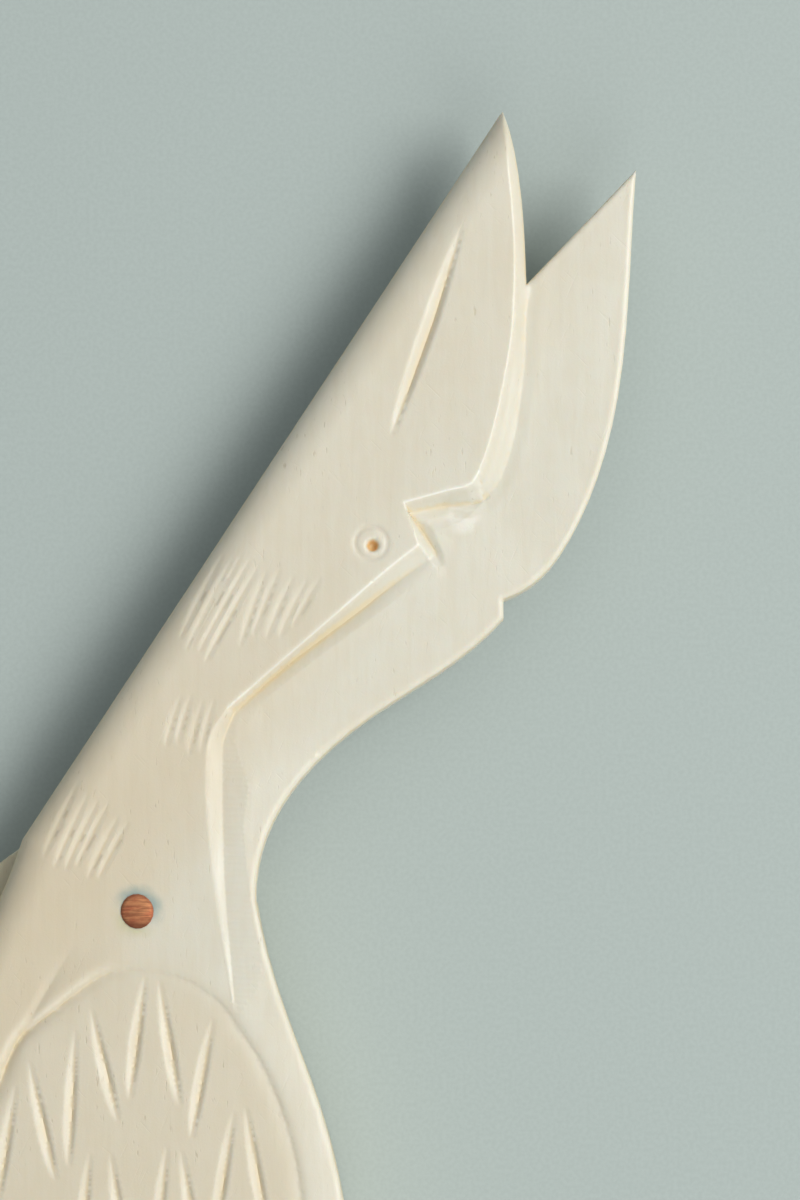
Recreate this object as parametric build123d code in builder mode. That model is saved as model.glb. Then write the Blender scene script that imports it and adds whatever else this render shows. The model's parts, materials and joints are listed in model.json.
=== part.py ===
"""A pocket bone folder carved as a bird: a carved front scale and a plain rear scale hold a bone blade,
which turns on a copper rivet through the shoulder and folds away between them."""

from build123d import *
import os
from math import cos, hypot, radians, sin, sqrt

os.makedirs("parts", exist_ok=True)

# ---- Driving sizes, in millimetres. The tool lies on its flat back: +Z is up, +Y is towards the head,
# ---- and the origin is on the flat back, at the middle of the body.
head_length = 71.3  # pivot to the tip of the upper beak
body_length = 95.0  # pivot to the end of the tail
body_width = 36.0  # across the folded wing, at its widest
pivot_from_origin = 28.0

front_thickness = 4.0
rear_thickness = 2.8
blade_thickness = 2.4
washer_thickness = 0.25
side_play = 0.05  # between the blade and each washer
running_clearance = 0.05  # radial, between a turning piece and the rivet
blade_clearance = 0.5  # between the blade's edge and the spacer, in the plane of the blade
stop_clearance = 0.3  # between the blade's heel and the spacer at the open stop

pivot_diameter = 2.6
spacer_pin_diameter = 2.0
pin_inset = 2.7  # from the outline along the breast to a spacer pin
pin_proud = 0.05  # a filed rivet end stands this much above the carved face
washer_diameter = 8.0

spacer_width = 6.5  # the strip of bone that keeps the scales apart along the breast
tail_block = 12.0  # the spacer's length at the tail, past the folded blade's tip
blade_inset = 4.5  # how far the folded blade's working edge lies inside the bird's back
heel_radius = 9.58  # the blade's round end
heel_shift = 0.7  # the round end's centre lies this far to the left of the pivot
heel_lift = 126.0  # degrees from +X to the heel tab's upper edge, along its outward normal
tab_reach = 8.6  # the tab's corner, along its upper edge from the end of the round
tab_round = 1.6

relief_depth = 1.2  # the throat and the lower beak lie this far below the carved face
back_round = 2.2  # the round-over along the bird's back
cut_margin = 1.0  # the relief is cut from this far above the carved face
rear_edge_break = 0.6
blade_edge_round = 1.0  # the blade's working edges are rounded on both sides

# The outline is drawn at these sizes, and stretched to the driving sizes.
drawn_head_length = 71.3
drawn_body_length = 95.0
drawn_body_width = 36.0

# ---- Levels, from the flat back upwards
gap = blade_thickness + 2 * (washer_thickness + side_play)
gap_floor = rear_thickness
gap_top = gap_floor + gap
face_level = gap_top + front_thickness
blade_floor = gap_floor + washer_thickness + side_play
blade_top = blade_floor + blade_thickness
blade_reach = body_length - tail_block - blade_clearance


def level(z):
    """The drawing plane at height z, with its own origin on the pivot."""
    return Plane((0, pivot_from_origin, z))


def head_at(x, y):
    """A point of the head or neck, measured from the pivot."""
    stretch = head_length / drawn_head_length
    return (x * stretch, y * stretch)


def body_at(x, y, inset=0.0):
    """A point of the body, measured from the pivot. A positive inset moves it towards the middle."""
    across = x * body_width / drawn_body_width
    across += -inset if x > 0 else inset
    return (across, y * body_length / drawn_body_length)


# ---- The outline that both scales share, from the throat round the tail to the nape
throat_foot = head_at(9.4, 0.9)
nape = head_at(-9.3, 5.9)
shoulder_crown = head_at(-0.6, 9.2)
breast = ((11.6, -7.4), (14.5, -15.3), (17.3, -32.0), (15.3, -52.0), (9.8, -75.0))
tail_side = 3.4
tail_shoulder = -92.6
back = ((-10.6, -75.0), (-16.2, -52.0), (-18.6, -31.0), (-16.2, -10.5), (-11.1, 1.1))


def breast_line():
    Spline(throat_foot, *(body_at(*p) for p in breast), body_at(tail_side, tail_shoulder))


def tail_line():
    ThreePointArc(
        body_at(tail_side, tail_shoulder),
        (0, -body_length),
        body_at(-tail_side, tail_shoulder),
    )


def back_line():
    Spline(
        body_at(-tail_side, tail_shoulder),
        *(body_at(*p) for p in back[:-1]),
        head_at(*back[-1]),
        nape,
    )


def shoulder_line():
    """The rear scale and the spacer end in this arc, hidden under the neck."""
    ThreePointArc(throat_foot, shoulder_crown, nape)


# ---- Where the pins go
pivot_at = (0.0, 0.0)
spacer_pins = {
    "breast_pin": body_at(15.6, -50.0, pin_inset),
    "belly_pin": body_at(12.2, -66.0, pin_inset),
    "tail_pin": (0.0, -(body_length - tail_block / 2)),
}

# ---- Gouge strokes in the carved face: start, end, half width at the middle
beak_slit = [(head_at(26.0, 55.1), head_at(20.3, 38.2), 0.55)]
hatch_groups = (  # first stroke's lower end, strokes, step to the next one, length
    ((3.4, 20.7), 6, (0.95, 0.55), 6.2),
    ((9.0, 21.6), 4, (1.25, 0.30), 5.6),
    ((2.2, 12.3), 4, (0.90, 0.55), 5.0),
    ((-6.6, 4.3), 7, (0.92, -0.10), 5.6),
)
hatch_lean = 63.0  # degrees above +X
hatch_half_width = 0.24
feather_tops = (  # the peak of each pair of feather strokes
    ((-9.0, -12.6), (-4.3, -8.6), (1.2, -5.4), (6.6, -9.0)),
    ((-2.8, -18.6), (3.1, -18.4), (8.2, -15.6), (-8.6, -22.4)),
    ((-5.6, -29.4), (0.2, -29.0), (5.8, -27.6), (10.8, -26.0)),
    ((-10.4, -34.0), (-2.7, -40.0), (3.0, -39.2), (8.2, -37.6)),
    ((-8.0, -45.2), (-4.6, -51.0), (0.8, -50.2)),
    ((-6.4, -61.0),),
)
feather_length = 9.8
feather_half_spread = 0.5  # a pair's strokes start this far from the peak
feather_foot = 1.9  # and end this far from it
feather_half_width = 0.42
gouge_depth = 0.35  # every gouge stroke and groove in the carved face is this deep

strokes = list(beak_slit)
for first, count, step, length in hatch_groups:
    for i in range(count):
        foot = (first[0] + i * step[0], first[1] + i * step[1])
        tip = (foot[0] + length * cos(radians(hatch_lean)), foot[1] + length * sin(radians(hatch_lean)))
        strokes.append((head_at(*tip), head_at(*foot), hatch_half_width))
for row in feather_tops:
    for x, y in row:
        for side in (-1, 1):
            top = (x + side * feather_half_spread, y)
            foot = (x + side * feather_foot, y - feather_length)
            strokes.append((body_at(*top), body_at(*foot), feather_half_width))


# ---- The line of the folded wing, which a groove follows
groove_width = 0.9
wing_tip = (-5.0, -80.0)
wing_back = ((-14.2, -40.0), (-9.7, -10.6))
wing_top = (0.8, -4.7)
wing_breast = ((13.2, -23.1), (10.5, -50.0))


def wing_line(inset):
    """The folded wing's outline, closed at its tip, moved inwards by the inset."""
    tip = body_at(wing_tip[0], wing_tip[1] + 4 * inset)
    top = body_at(wing_top[0], wing_top[1] - inset)
    Spline(
        tip,
        *(body_at(*p, inset) for p in wing_back),
        top,
        *(body_at(*p, inset) for p in wing_breast),
        tip,
    )


# ---- Front scale: the bird, with its head, open beak, neck, breast and folded wing in one piece of bone
eye = head_at(18.6, 29.5)
eye_ring_radius = 1.3
eye_ring_groove = 0.17  # half its width
eye_pit_radius = 0.42
eye_pit_depth = 0.8
beak_corner = head_at(31.1, 50.6)
upper_beak_tip = head_at(29.2, 65.0)
lower_beak_tip = head_at(40.0, 60.0)
chin = head_at(29.2, 25.1)
throat_top = head_at(29.2, 23.6)

with BuildPart() as front_scale:
    with BuildSketch(level(gap_top)) as bird:
        with BuildLine():
            Spline(upper_beak_tip, head_at(30.45, 59.7), head_at(30.9, 55.2), beak_corner)
            Line(beak_corner, lower_beak_tip)
            Spline(
                lower_beak_tip,
                head_at(39.4, 50.4),
                head_at(38.0, 39.2),
                head_at(34.7, 30.3),
                head_at(32.1, 26.8),
                chin,
            )
            Line(chin, throat_top)
            Spline(throat_top, head_at(25.0, 19.9), head_at(17.5, 14.9), head_at(11.5, 8.6), throat_foot)
            breast_line()
            tail_line()
            back_line()
            Line(nape, upper_beak_tip)
        make_face()
    extrude(amount=front_thickness)
    carved_face = front_scale.faces().sort_by(Axis.Z)[-1]
    nape_corner = (nape[0], nape[1] + pivot_from_origin, face_level)
    fillet(carved_face.edges().sort_by_distance(nape_corner)[:2], radius=back_round)
    with BuildSketch(level(face_level - relief_depth)):
        with BuildLine():
            Polyline(
                beak_corner,
                head_at(30.1, 47.8),
                head_at(29.2, 41.8),
                head_at(27.0, 35.0),
                head_at(21.1, 32.8),
                head_at(24.4, 27.7),
                head_at(22.3, 29.4),
                head_at(7.2, 16.3),
                head_at(6.7, 12.1),
                head_at(6.9, 2.0),
                body_at(7.8, -6.6),
                body_at(12.5, -7.4),
                head_at(18.0, 0.0),
                head_at(45.0, 20.0),
                head_at(45.0, 66.0),
                head_at(32.6, 66.0),
                close=True,
            )
        make_face()
    extrude(amount=relief_depth + cut_margin, mode=Mode.SUBTRACT)
    with BuildSketch(level(face_level)):
        with BuildLine():
            wing_line(0)
        make_face()
        with BuildLine():
            wing_line(groove_width)
        make_face(mode=Mode.SUBTRACT)
        for start, end, half_width in strokes:
            middle = ((start[0] + end[0]) / 2, (start[1] + end[1]) / 2)
            length = hypot(end[0] - start[0], end[1] - start[1])
            across = ((start[1] - end[1]) / length * half_width, (end[0] - start[0]) / length * half_width)
            with BuildLine():
                ThreePointArc(start, (middle[0] + across[0], middle[1] + across[1]), end)
                ThreePointArc(end, (middle[0] - across[0], middle[1] - across[1]), start)
            make_face()
        with Locations(eye):
            Circle(eye_ring_radius + eye_ring_groove)
            Circle(eye_ring_radius - eye_ring_groove, mode=Mode.SUBTRACT)
    extrude(amount=-gouge_depth, mode=Mode.SUBTRACT)
    with Locations(level(face_level)):
        with Locations(eye):
            Hole(eye_pit_radius, eye_pit_depth)
        with Locations(body_at(*pivot_at)):
            Hole(pivot_diameter / 2)
        with Locations(*spacer_pins.values()):
            Hole(spacer_pin_diameter / 2)
front_scale.part.label = "front_scale"
export_step(front_scale.part, "parts/front_scale.step")


# ---- Rear scale: the bird's body without its head, flat at the back
with BuildPart() as rear_scale:
    with BuildSketch(level(0)):
        with BuildLine():
            shoulder_line()
            breast_line()
            tail_line()
            back_line()
        make_face()
    extrude(amount=rear_thickness)
    fillet(rear_scale.faces().sort_by(Axis.Z)[0].edges(), radius=rear_edge_break)
    with Locations(level(rear_thickness)):
        with Locations(body_at(*pivot_at)):
            Hole(pivot_diameter / 2)
        with Locations(*spacer_pins.values()):
            Hole(spacer_pin_diameter / 2)
rear_scale.part.label = "rear_scale"
export_step(rear_scale.part, "parts/rear_scale.step")


# ---- Folding blade: a bone folder with a soft edge, its heel turning on the rivet
# The tab at the heel stands out past the nape, so that a thumb can push the blade open.
heel_centre = (-heel_shift, 0.0)
tab_normal = (cos(radians(heel_lift)), sin(radians(heel_lift)))
tab_along = (-tab_normal[1], tab_normal[0])
tab_start = (
    heel_centre[0] + heel_radius * tab_normal[0],
    heel_centre[1] + heel_radius * tab_normal[1],
)
tab_corner = (
    tab_start[0] + tab_reach * tab_along[0],
    tab_start[1] + tab_reach * tab_along[1],
)
heel_top = (
    heel_centre[0] + heel_radius * cos(radians(heel_lift / 2)),
    heel_centre[1] + heel_radius * sin(radians(heel_lift / 2)),
)
heel_right = (heel_centre[0] + heel_radius, heel_centre[1])
blade_tip = (-1.5, -blade_reach)
blade_tip_right = (4.0, 4.0 - blade_reach)
blade_tip_left = (-6.5, 3.5 - blade_reach)
blade_hole_radius = pivot_diameter / 2 + running_clearance
right_inset = spacer_width + blade_clearance

with BuildPart() as folding_blade:
    with BuildSketch(level(blade_floor)):
        with BuildLine():
            ThreePointArc(
                tab_start,
                heel_top,
                heel_right,
            )
            Spline(heel_right, *(body_at(*p, right_inset) for p in breast[1:4]), blade_tip_right)
            ThreePointArc(blade_tip_right, blade_tip, blade_tip_left)
            left_edge = Spline(blade_tip_left, *(body_at(*p, blade_inset) for p in back[1:4]))
            Line(left_edge @ 1, tab_corner)
            Line(tab_corner, tab_start)
        make_face()
    extrude(amount=blade_thickness)
    tab_edge = folding_blade.edges().filter_by(Axis.Z).sort_by_distance(
        (tab_corner[0], tab_corner[1] + pivot_from_origin, blade_floor)
    )[0]
    fillet(tab_edge, radius=tab_round)
    working_edges = folding_blade.faces().filter_by(Axis.Z).edges().filter_by(
        lambda edge: edge.center().Y < pivot_from_origin - heel_radius
    )
    fillet(working_edges, radius=blade_edge_round)
    with Locations(level(blade_top)):
        Hole(blade_hole_radius)
folding_blade.part.label = "folding_blade"
export_step(folding_blade.part, "parts/folding_blade.step")


# ---- Spacer: a strip of bone along the breast and a block at the tail, outside the folding blade's path
swing_reach = blade_reach + blade_clearance
swing_start_x = 1.5  # the tip's path starts here, just right of the pivot
stop_distance = heel_radius - heel_shift * tab_normal[0] + stop_clearance
stop_foot = (-tab_normal[0] * stop_distance, -tab_normal[1] * stop_distance)
stop_heel_x = heel_right[0] + blade_clearance
stop_heel = (
    stop_heel_x,
    stop_foot[1] + (stop_heel_x - stop_foot[0]) * tab_along[1] / tab_along[0],
)
stop_end = (stop_foot[0] + body_width * -tab_along[0], stop_foot[1] + body_width * -tab_along[1])
inner_edge = [body_at(*p, spacer_width) for p in breast[1:4]]
inner_end = (blade_tip_right[0] + 2 * blade_clearance, blade_tip_right[1] - blade_clearance)
swing_angle = 40.0  # degrees from -Y, past the bird's back
swing_start = (swing_start_x, -sqrt(swing_reach**2 - swing_start_x**2))
swing_middle = (
    -swing_reach * sin(radians(swing_angle / 2)),
    -swing_reach * cos(radians(swing_angle / 2)),
)
swing_end = (-swing_reach * sin(radians(swing_angle)), -swing_reach * cos(radians(swing_angle)))
with BuildPart() as spacer:
    with BuildSketch(level(gap_floor)):
        with BuildLine():
            shoulder_line()
            breast_line()
            tail_line()
            back_line()
        make_face()
        with BuildLine():
            Spline(*inner_edge, inner_end)
            Line(inner_end, swing_start)
            ThreePointArc(swing_start, swing_middle, swing_end)
            Polyline(
                swing_end,
                (-body_length, swing_end[1]),
                (-body_length, body_width),
                (body_width * 2, body_width),
                stop_end,
                stop_heel,
                inner_edge[0],
            )
        make_face(mode=Mode.SUBTRACT)
    extrude(amount=gap)
    with Locations(level(gap_top)):
        with Locations(*spacer_pins.values()):
            Hole(spacer_pin_diameter / 2)
spacer.part.label = "spacer"
export_step(spacer.part, "parts/spacer.step")


# ---- Pivot washers: one each side of the blade
for washer_name, washer_floor in (
    ("rear_washer", gap_floor),
    ("front_washer", gap_top - washer_thickness),
):
    with BuildPart() as washer:
        with BuildSketch(level(washer_floor)):
            Circle(washer_diameter / 2)
            Circle(blade_hole_radius, mode=Mode.SUBTRACT)
        extrude(amount=washer_thickness)
    washer.part.label = washer_name
    export_step(washer.part, f"parts/{washer_name}.step")


# ---- Copper rivets: the pivot, and three pins that hold the spacer between the scales
rivets = {"pivot_rivet": (body_at(*pivot_at), pivot_diameter)}
rivets.update({name: (place, spacer_pin_diameter) for name, place in spacer_pins.items()})
for rivet_name, (place, diameter) in rivets.items():
    with BuildPart() as rivet:
        with BuildSketch(level(0)):
            with Locations(place):
                Circle(diameter / 2)
        extrude(amount=face_level + pin_proud)
    rivet.part.label = rivet_name
    export_step(rivet.part, f"parts/{rivet_name}.step")

print("pivot, metres:", 0, pivot_from_origin / 1000, (blade_floor + blade_thickness / 2) / 1000)
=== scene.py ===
# A folding bone folder carved as a bird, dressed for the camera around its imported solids.
import bpy
import bmesh
import json
import math
import numpy as np
from mathutils import Vector, Matrix, kdtree, geometry

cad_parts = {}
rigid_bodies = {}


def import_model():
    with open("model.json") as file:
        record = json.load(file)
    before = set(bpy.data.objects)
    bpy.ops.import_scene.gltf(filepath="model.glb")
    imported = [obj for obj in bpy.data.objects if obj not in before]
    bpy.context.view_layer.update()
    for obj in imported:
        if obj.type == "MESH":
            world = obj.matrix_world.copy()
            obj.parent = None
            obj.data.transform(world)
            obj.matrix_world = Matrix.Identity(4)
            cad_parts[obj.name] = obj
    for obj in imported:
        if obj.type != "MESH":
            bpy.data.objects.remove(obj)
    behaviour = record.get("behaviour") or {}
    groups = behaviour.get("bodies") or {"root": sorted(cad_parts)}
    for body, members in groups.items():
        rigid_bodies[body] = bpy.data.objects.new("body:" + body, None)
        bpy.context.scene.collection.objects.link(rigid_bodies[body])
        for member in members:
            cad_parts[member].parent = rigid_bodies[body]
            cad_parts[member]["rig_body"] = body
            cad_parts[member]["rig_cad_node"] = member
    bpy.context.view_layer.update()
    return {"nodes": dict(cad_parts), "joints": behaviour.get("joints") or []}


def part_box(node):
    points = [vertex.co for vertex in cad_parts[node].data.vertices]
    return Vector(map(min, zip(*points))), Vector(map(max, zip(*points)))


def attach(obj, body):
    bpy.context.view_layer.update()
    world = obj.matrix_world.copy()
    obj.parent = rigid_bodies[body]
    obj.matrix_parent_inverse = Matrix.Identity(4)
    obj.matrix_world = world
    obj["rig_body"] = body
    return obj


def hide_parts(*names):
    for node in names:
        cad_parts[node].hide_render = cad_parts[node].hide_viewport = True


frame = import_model()
pivot = Vector(frame["joints"][0]["pos_m"])
mm = 0.001
print("frame loaded, pivot at", [round(c, 4) for c in pivot])


def deselectAll():
    if bpy.context.object and bpy.context.object.mode != "OBJECT":
        bpy.ops.object.mode_set(mode="OBJECT")
    bpy.ops.object.select_all(action="DESELECT")


def pick(piece):
    deselectAll()
    piece.select_set(True)
    bpy.context.view_layer.objects.active = piece
    return piece


def applyModifier(piece, kind, **settings):
    pick(piece)
    bpy.ops.object.modifier_add(type=kind)
    modifier = piece.modifiers[-1]
    for name, value in settings.items():
        setattr(modifier, name, value)
    bpy.ops.object.modifier_apply(modifier=modifier.name)


def meltedCopy(nodeName, pieceName):
    # a joined-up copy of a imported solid, ready for modifiers
    piece = frame["nodes"][nodeName].copy()
    piece.data = frame["nodes"][nodeName].data.copy()
    piece.parent = None
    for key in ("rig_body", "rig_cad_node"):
        if key in piece:
            del piece[key]
    piece.name = piece.data.name = pieceName
    bpy.context.scene.collection.objects.link(piece)
    pick(piece)
    bpy.ops.object.mode_set(mode="EDIT")
    bpy.ops.mesh.select_all(action="SELECT")
    bpy.ops.mesh.remove_doubles(threshold=0.000002)
    bpy.ops.mesh.normals_make_consistent(inside=False)
    bpy.ops.object.mode_set(mode="OBJECT")
    piece.data.materials.clear()
    return piece


# ---- plan geometry, in millimetres from the pivot

def toPlan(co):
    return ((co[0] - pivot.x) / mm, (co[1] - pivot.y) / mm)


def outlineLoops(nodeName):
    # the edges round the flat underside of a scale, as ordered loops: the outline first, then the bores
    piece = meltedCopy(nodeName, "outlineTemp")
    low = min(v.co.z for v in piece.data.vertices)
    mesh = bmesh.new()
    mesh.from_mesh(piece.data)
    rim = {}
    for edge in mesh.edges:
        flat = [f for f in edge.link_faces
                if f.normal.z < -0.99 and abs(f.calc_center_median().z - low) < 2e-6]
        if len(flat) == 1:
            a, b = edge.verts
            rim.setdefault(a.index, []).append(b.index)
            rim.setdefault(b.index, []).append(a.index)
    mesh.verts.ensure_lookup_table()
    loops, seen = [], set()
    for start in rim:
        if start in seen:
            continue
        loop, here = [start], start
        seen.add(start)
        while True:
            ahead = [n for n in rim[here] if n not in seen]
            if not ahead:
                break
            here = ahead[0]
            seen.add(here)
            loop.append(here)
        loops.append(np.array([toPlan(mesh.verts[i].co) for i in loop]))
    mesh.free()
    bpy.data.objects.remove(piece)

    def area(p):
        q = np.roll(p, -1, 0)
        return 0.5 * np.sum(p[:, 0] * q[:, 1] - q[:, 0] * p[:, 1])

    loops = [p if area(p) > 0 else p[::-1] for p in loops]
    return sorted(loops, key=lambda p: -area(p))


def respaced(loop, step):
    made = []
    for a, b in zip(loop, np.roll(loop, -1, 0)):
        count = max(1, int(math.ceil(np.hypot(*(b - a)) / step)))
        made += [a + (b - a) * i / count for i in range(count)]
    return np.array(made)


def inside(points, loop):
    # even-odd test of many points against one closed loop
    x, y = points[:, 0], points[:, 1]
    hit = np.zeros(len(points), bool)
    for (ax, ay), (bx, by) in zip(loop, np.roll(loop, -1, 0)):
        if ay == by:
            continue
        crosses = (ay > y) != (by > y)
        hit ^= crosses & (x < (bx - ax) * (y - ay) / (by - ay) + ax)
    return hit


def nearest(points, line):
    # distance, side (positive on the right of the line), share of the length passed,
    # and the third value carried along the line
    line = np.array(line, float)
    best = np.full(len(points), 1e9)
    side = np.zeros(len(points))
    along = np.zeros(len(points))
    value = np.zeros(len(points))
    run = 0.0
    for a, b in zip(line[:-1], line[1:]):
        d = b[:2] - a[:2]
        length = max(1e-9, np.hypot(*d))
        t = np.clip(((points - a[:2]) @ d) / length**2, 0, 1)
        off = points - (a[:2] + t[:, None] * d)
        dist = np.hypot(off[:, 0], off[:, 1])
        near = dist < best
        best = np.where(near, dist, best)
        side = np.where(near, np.sign(d[1] * off[:, 0] - d[0] * off[:, 1]), side)
        along = np.where(near, run + t * length, along)
        if line.shape[1] > 2:
            value = np.where(near, a[2] + t * (b[2] - a[2]), value)
        run += length
    return best, side, along / run, value


def softStep(t):
    t = np.clip(t, 0, 1)
    return t * t * (3 - 2 * t)


def planOf(line):
    return np.array([p[:2] for p in line])


def between(lineA, lineB):
    # the closed area between two lines that run the same way
    return np.concatenate([planOf(lineA), planOf(lineB)[::-1]])


# ---- the carving: lines in millimetres from the pivot, with their height below the carved face

carving = {
    # walls between an upper line and a lower line; the ground runs from one to the other
    "beakFacet": dict(
        top=((29.2, 65.4, 0), (29.6, 60.3, 0), (29.9, 57.2, 0), (30.1, 53.8, 0), (30.1, 50.2, 0),
             (29.9, 46.6, 0), (29.3, 42.9, 0), (28.8, 40.5, 0), (28.0, 37.4, 0), (27.2, 35.2, 0)),
        foot=((30.6, 65.6, -0.5), (31.2, 59.8, -0.6), (31.6, 55.3, -0.75), (31.5, 50.9, -0.85),
              (31.1, 48.4, -0.9), (31.0, 45.0, -0.95), (30.8, 42.8, -1.0), (30.5, 40.5, -1.1),
              (30.0, 37.7, -1.15), (28.9, 34.6, -1.25), (27.6, 33.0, -1.3)),
        sag=0.12,
    ),
    "mouthRoof": dict(
        top=((27.2, 35.2, 0), (26.7, 34.4, 0), (26.2, 34.1, 0), (24.8, 33.8, 0), (21.2, 32.8, 0)),
        foot=((27.6, 33.0, -1.3), (26.7, 32.8, -1.25), (24.4, 32.6, -1.2), (21.6, 32.0, -0.75)),
        sag=0.0,
    ),
    "mouthFloor": dict(
        top=((27.6, 33.0, -1.2), (26.7, 32.0, -1.0), (25.9, 31.4, -0.92), (24.6, 30.8, -0.85),
             (23.6, 30.6, -0.8)),
        foot=((27.6, 33.0, -1.3), (26.7, 32.8, -1.25), (24.4, 32.6, -1.2), (21.6, 32.0, -0.75)),
        sag=0.0,
    ),
    "cheekNearWall": dict(
        top=((21.2, 32.8, 0), (21.6, 31.7, 0), (22.4, 29.4, 0), (23.2, 28.2, -0.75), (23.9, 27.6, -0.75)),
        foot=((21.6, 32.0, -0.75), (22.5, 30.9, -1.1), (23.7, 29.0, -1.1), (24.2, 27.8, -0.85)),
        sag=0.0,
    ),
    "cheekFarWall": dict(
        top=((23.6, 30.6, -0.8), (24.0, 29.6, -0.8), (24.4, 28.8, -0.82), (24.6, 27.7, -0.85)),
        foot=((21.6, 32.0, -0.75), (22.5, 30.9, -1.1), (23.7, 29.0, -1.1), (24.2, 27.8, -0.85)),
        sag=0.0,
    ),
    "jawWall": dict(
        top=((22.4, 29.4, 0), (19.3, 26.9, 0), (14.5, 22.7, 0), (10.5, 19.2, 0), (7.2, 16.3, -0.05)),
        foot=((23.2, 28.2, -0.75), (20.3, 26.2, -1.05), (17.5, 24.0, -1.2), (11.6, 19.5, -1.2),
              (7.6, 15.8, -0.8)),
        sag=0.1,
    ),
    "jawFarWall": dict(
        top=((23.9, 27.6, -0.75), (21.7, 25.9, -0.75), (19.3, 24.0, -0.75), (13.9, 20.0, -0.75),
             (9.6, 16.5, -0.7), (7.6, 13.6, -0.6)),
        foot=((23.2, 28.2, -0.75), (20.3, 26.2, -1.05), (17.5, 24.0, -1.2), (11.6, 19.5, -1.2),
              (7.6, 15.8, -0.8)),
        sag=-0.05,
    ),
    "neckWall": dict(
        top=((7.2, 16.3, 0), (5.8, 14.2, 0), (5.4, 12.1, 0), (5.4, 8.9, 0), (5.8, 4.1, 0), (6.4, -0.7, 0),
             (7.2, -5.1, 0), (7.7, -8.4, 0)),
        foot=((7.6, 15.8, -0.75), (6.8, 13.7, -0.62), (6.7, 11.7, -0.55), (6.8, 5.4, -0.4),
              (7.0, 0.9, -0.28), (7.4, -3.6, -0.15), (7.8, -8.4, 0)),
        sag=-0.06,
    ),
    "neckFacet": dict(
        top=((7.6, 13.6, -0.6), (8.8, 9.9, -0.42), (8.4, 6.8, -0.34), (8.7, 3.4, -0.28), (9.2, 0.5, -0.2),
             (9.9, -2.7, -0.1), (9.6, -5.9, -0.02), (8.1, -8.4, 0)),
        foot=((7.6, 15.8, -0.75), (6.8, 13.7, -0.62), (6.7, 11.7, -0.55), (6.8, 5.4, -0.4),
              (7.0, 0.9, -0.28), (7.4, -3.6, -0.15), (7.8, -8.4, 0)),
        sag=0.0,
    ),
}


def flowing(line, step=0.6):
    # the same line with soft bends through its points
    line = np.array(line, float)
    ends = np.concatenate([[2 * line[0] - line[1]], line, [2 * line[-1] - line[-2]]])
    made = []
    for i in range(len(line) - 1):
        a, b, c, d = ends[i:i + 4]
        count = max(2, int(np.hypot(*(c - b)[:2]) / step))
        for t in np.arange(count) / count:
            made.append(0.5 * (2 * b + (c - a) * t + (2 * a - 5 * b + 4 * c - d) * t * t
                               + (3 * b - a - 3 * c + d) * t**3))
    return [tuple(p) for p in made] + [tuple(line[-1])]


for wall in ("beakFacet", "jawWall", "jawFarWall", "neckWall", "neckFacet"):
    carving[wall]["top"] = flowing(carving[wall]["top"])
    carving[wall]["foot"] = flowing(carving[wall]["foot"])

# the ground outside the walls on the low side, as closed areas with heights carried by their edge lines
lowGround = {
    "beakBlade": dict(  # the lower beak and chin
        near=((31.0, 51.6, -0.85), (31.1, 48.4, -0.9), (31.0, 45.0, -0.95), (30.8, 42.8, -1.0),
              (30.5, 40.5, -1.1), (30.0, 37.7, -1.15), (28.9, 34.6, -1.25), (27.6, 33.0, -1.2),
              (26.7, 32.0, -1.0), (25.9, 31.4, -0.92), (24.6, 30.8, -0.85), (23.6, 30.6, -0.8),
              (24.0, 29.6, -0.8), (24.6, 27.7, -0.85), (23.9, 27.6, -0.75)),
        far=((41.6, 62.5, -1.0), (41.4, 50.4, -1.1), (40.0, 39.2, -1.2), (36.6, 29.4, -1.25),
             (31.5, 23.0, -1.2), (29.0, 20.5, -1.2), (25.6, 17.6, -1.25)),
    ),
    "throat": dict(
        near=((23.9, 27.6, -0.75), (21.7, 25.9, -0.75), (19.3, 24.0, -0.75), (13.9, 20.0, -0.75),
              (9.6, 16.5, -0.7), (7.6, 13.6, -0.6), (8.8, 9.9, -0.42), (8.4, 6.8, -0.34), (8.7, 3.4, -0.28),
              (9.2, 0.5, -0.2), (9.9, -2.7, -0.1), (9.6, -5.9, -0.02), (8.1, -8.4, 0)),
        far=((25.6, 17.6, -1.3), (21.6, 15.6, -1.3), (18.2, 13.2, -1.3), (15.4, 10.8, -1.25),
             (12.9, 7.4, -0.9), (11.6, 4.0, -0.7), (11.2, 0.4, -0.42), (12.2, -3.6, -0.18),
             (13.4, -8.4, 0)),
    ),
}

# gouge strokes: start, end, full width and depth; each is deepest past its middle
gouges = []


def comb(first, last, count, width, depth):
    # a row of like strokes between a first and a last one, each a little uneven
    for i in range(count):
        t = i / (count - 1)
        wobble = 0.25 * math.sin(4.1 * i + first[0][0])
        start = [first[0][k] + (last[0][k] - first[0][k]) * t for k in (0, 1)]
        end = [first[1][k] + (last[1][k] - first[1][k]) * t for k in (0, 1)]
        gouges.append(((start[0], start[1] + wobble), (end[0], end[1] + wobble * 1.6), width, depth))


comb(((6.8, 28.7), (3.3, 21.6)), ((9.7, 28.1), (5.3, 20.2)), 5, 0.74, 0.17)
comb(((10.3, 27.6), (8.1, 21.4)), ((14.6, 26.5), (12.3, 22.3)), 5, 0.82, 0.13)
comb(((3.4, 17.3), (2.2, 13.2)), ((6.1, 17.0), (5.0, 12.6)), 4, 0.78, 0.12)
comb(((-4.7, 10.2), (-7.5, 3.9)), ((-0.7, 7.2), (-3.1, 2.6)), 6, 0.76, 0.17)

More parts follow.
